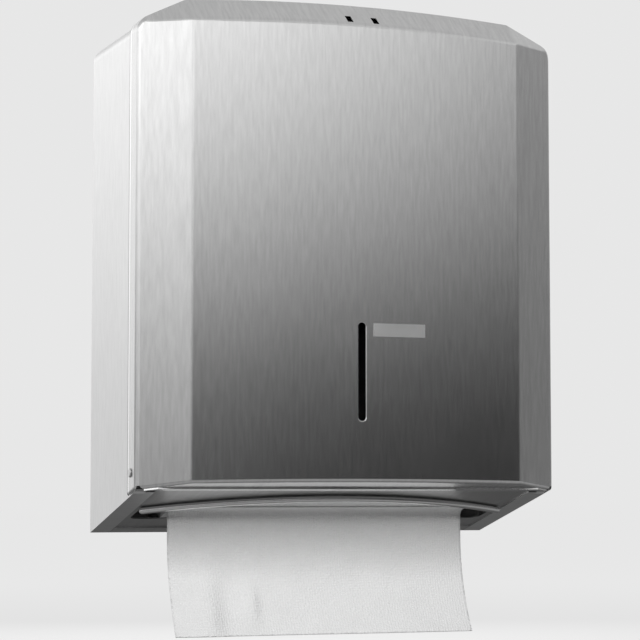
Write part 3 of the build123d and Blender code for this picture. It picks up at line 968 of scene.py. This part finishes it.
wire(vector_of(stack_tree, 0.0, 0.0, stack_in.outputs["Pitch"]), line.inputs["Offset"])
wire(stack_in.outputs["Seed"], shift.inputs["Seed"])
wire(shift.outputs["Value"], shift_scale.inputs[0])
wire(stack_in.outputs["Shift"], shift_scale.inputs["Scale"])
wire(line.outputs["Mesh"], move.inputs["Geometry"])
wire(shift_scale.outputs[0], move.inputs["Offset"])
wire(move.outputs["Geometry"], copies.inputs["Points"])
wire(stack_in.outputs["Geometry"], copies.inputs["Instance"])
wire(copies.outputs["Instances"], realize.inputs["Geometry"])
wire(realize.outputs["Geometry"], finish_leaf.inputs["Geometry"])
wire(stack_in.outputs["Paper"], finish_leaf.inputs["Material"])
wire(finish_leaf.outputs["Geometry"], stack_out.inputs["Geometry"])
print(stack_tree.name, "has", len(stack_tree.nodes), "nodes")

# %% Stack piece
leaf_shift = 0.5 * MM
stack_seed = 7
run_geometry_tree(stack, stack_tree, {
    "Pairs": pair_count, "Pitch": pair_pitch, "Shift": leaf_shift, "Seed": stack_seed,
    "Paper": paper})
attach(stack, "case")
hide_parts("towel_stack")

# %% [markdown]
# ## Rivets
# The towel guides and the latch are held by dome-headed rivets, six in all. A rivet is the same
# everywhere, so one Geometry Nodes tree builds it from a cylinder and flattened spheres and
# places it on the points of a mesh that holds nothing but the rivets' places.

# %% Geometry Nodes for a rivet's shank and head
rivet_sides = 32
dome_rings = 16

rivet_tree, rivet_in, rivet_out = geometry_tree(
    "place_rivets",
    [("Shank Radius", "NodeSocketFloat"), ("Head Radius", "NodeSocketFloat"),
     ("Head Height", "NodeSocketFloat"), ("Grip", "NodeSocketFloat"),
     ("Back Head", "NodeSocketBool"), ("Turn", "NodeSocketVector"),
     ("Steel", "NodeSocketMaterial")],
)
wire = rivet_tree.links.new
grip_length = rivet_in.outputs["Grip"]
shank = rivet_tree.nodes.new("GeometryNodeMeshCylinder")
shank.inputs["Vertices"].default_value = rivet_sides
wire(rivet_in.outputs["Shank Radius"], shank.inputs["Radius"])
wire(grip_length, shank.inputs["Depth"])
dome = rivet_tree.nodes.new("GeometryNodeMeshUVSphere")
dome.inputs["Segments"].default_value = rivet_sides
dome.inputs["Rings"].default_value = dome_rings
dome.inputs["Radius"].default_value = 1.0
head_radius = rivet_in.outputs["Head Radius"]
dome_size = vector_of(rivet_tree, head_radius, head_radius, rivet_in.outputs["Head Height"])
front_head = rivet_tree.nodes.new("GeometryNodeTransform")
wire(dome.outputs["Mesh"], front_head.inputs["Geometry"])
wire(dome_size, front_head.inputs["Scale"])
print("a rivet has", rivet_sides, "sides")

# %% Geometry Nodes that join a rivet


def lowered(geometry, distance):
    """Geometry moved down by a distance socket."""
    down = math_node(rivet_tree, "MULTIPLY", distance, -1.0)
    moved = rivet_tree.nodes.new("GeometryNodeTransform")
    wire(geometry, moved.inputs["Geometry"])
    wire(vector_of(rivet_tree, 0.0, 0.0, down), moved.inputs["Translation"])
    return moved.outputs["Geometry"]


half_grip = math_node(rivet_tree, "MULTIPLY", grip_length, 0.5)
back_head = rivet_tree.nodes.new("GeometryNodeSwitch")
back_head.input_type = "GEOMETRY"
wire(rivet_in.outputs["Back Head"], back_head.inputs["Switch"])
wire(lowered(front_head.outputs["Geometry"], grip_length), back_head.inputs["True"])
rivet_parts = rivet_tree.nodes.new("GeometryNodeJoinGeometry")
wire(lowered(shank.outputs["Mesh"], half_grip), rivet_parts.inputs["Geometry"])
wire(front_head.outputs["Geometry"], rivet_parts.inputs["Geometry"])
wire(back_head.outputs["Output"], rivet_parts.inputs["Geometry"])
print("a rivet's parts are joined from", len(rivet_parts.inputs["Geometry"].links), "links")

# %% Geometry Nodes that place the rivets
placed = rivet_tree.nodes.new("GeometryNodeInstanceOnPoints")
real_rivets = rivet_tree.nodes.new("GeometryNodeRealizeInstances")
smooth_rivets = rivet_tree.nodes.new("GeometryNodeSetShadeSmooth")
steel_rivets = rivet_tree.nodes.new("GeometryNodeSetMaterial")
wire(rivet_in.outputs["Geometry"], placed.inputs["Points"])
wire(rivet_parts.outputs["Geometry"], placed.inputs["Instance"])
wire(rivet_in.outputs["Turn"], placed.inputs["Rotation"])
wire(placed.outputs["Instances"], real_rivets.inputs["Geometry"])
wire(real_rivets.outputs["Geometry"], smooth_rivets.inputs["Geometry"])
wire(smooth_rivets.outputs["Geometry"], steel_rivets.inputs["Geometry"])
wire(rivet_in.outputs["Steel"], steel_rivets.inputs["Material"])
wire(steel_rivets.outputs["Geometry"], rivet_out.inputs["Geometry"])
print(rivet_tree.name, "has", len(rivet_tree.nodes), "nodes")

# %% Guide and latch rivets
rivet_shank = 1.5 * MM
rivet_head = 2.6 * MM
head_height = 0.7 * MM
facing_front = (math.pi / 2, 0.0, 0.0)
facing_up = (0.0, 0.0, 0.0)


def rivets(name, node, points, grip, two_heads, turned):
    """A piece of dome-headed rivets in place of a node's plain ones."""
    mesh = bpy.data.meshes.new(name)
    mesh.from_pydata(points, [], [])
    piece = new_object(name, mesh)
    run_geometry_tree(piece, rivet_tree, {
        "Shank Radius": rivet_shank, "Head Radius": rivet_head, "Head Height": head_height,
        "Grip": grip, "Back Head": two_heads, "Turn": turned, "Steel": rivet_steel})
    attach(piece, "case")
    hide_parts(node)


low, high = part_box("guide_rivets")
guide_y = low.y + head_height
guide_points = []
for x in (low.x + rivet_head, high.x - rivet_head):
    for z in (low.z + rivet_head, high.z - rivet_head):
        guide_points.append((x, guide_y, z))
rivets("guide_domes", "guide_rivets", guide_points, high.y - guide_y, False, facing_front)

low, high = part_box("latch_rivets")
latch_y = (low.y + high.y) / 2
latch_z = high.z - head_height
latch_points = [(x, latch_y, latch_z) for x in (low.x + rivet_head, high.x - rivet_head)]
latch_grip = latch_z - low.z - head_height
rivets("latch_domes", "latch_rivets", latch_points, latch_grip, True, facing_up)
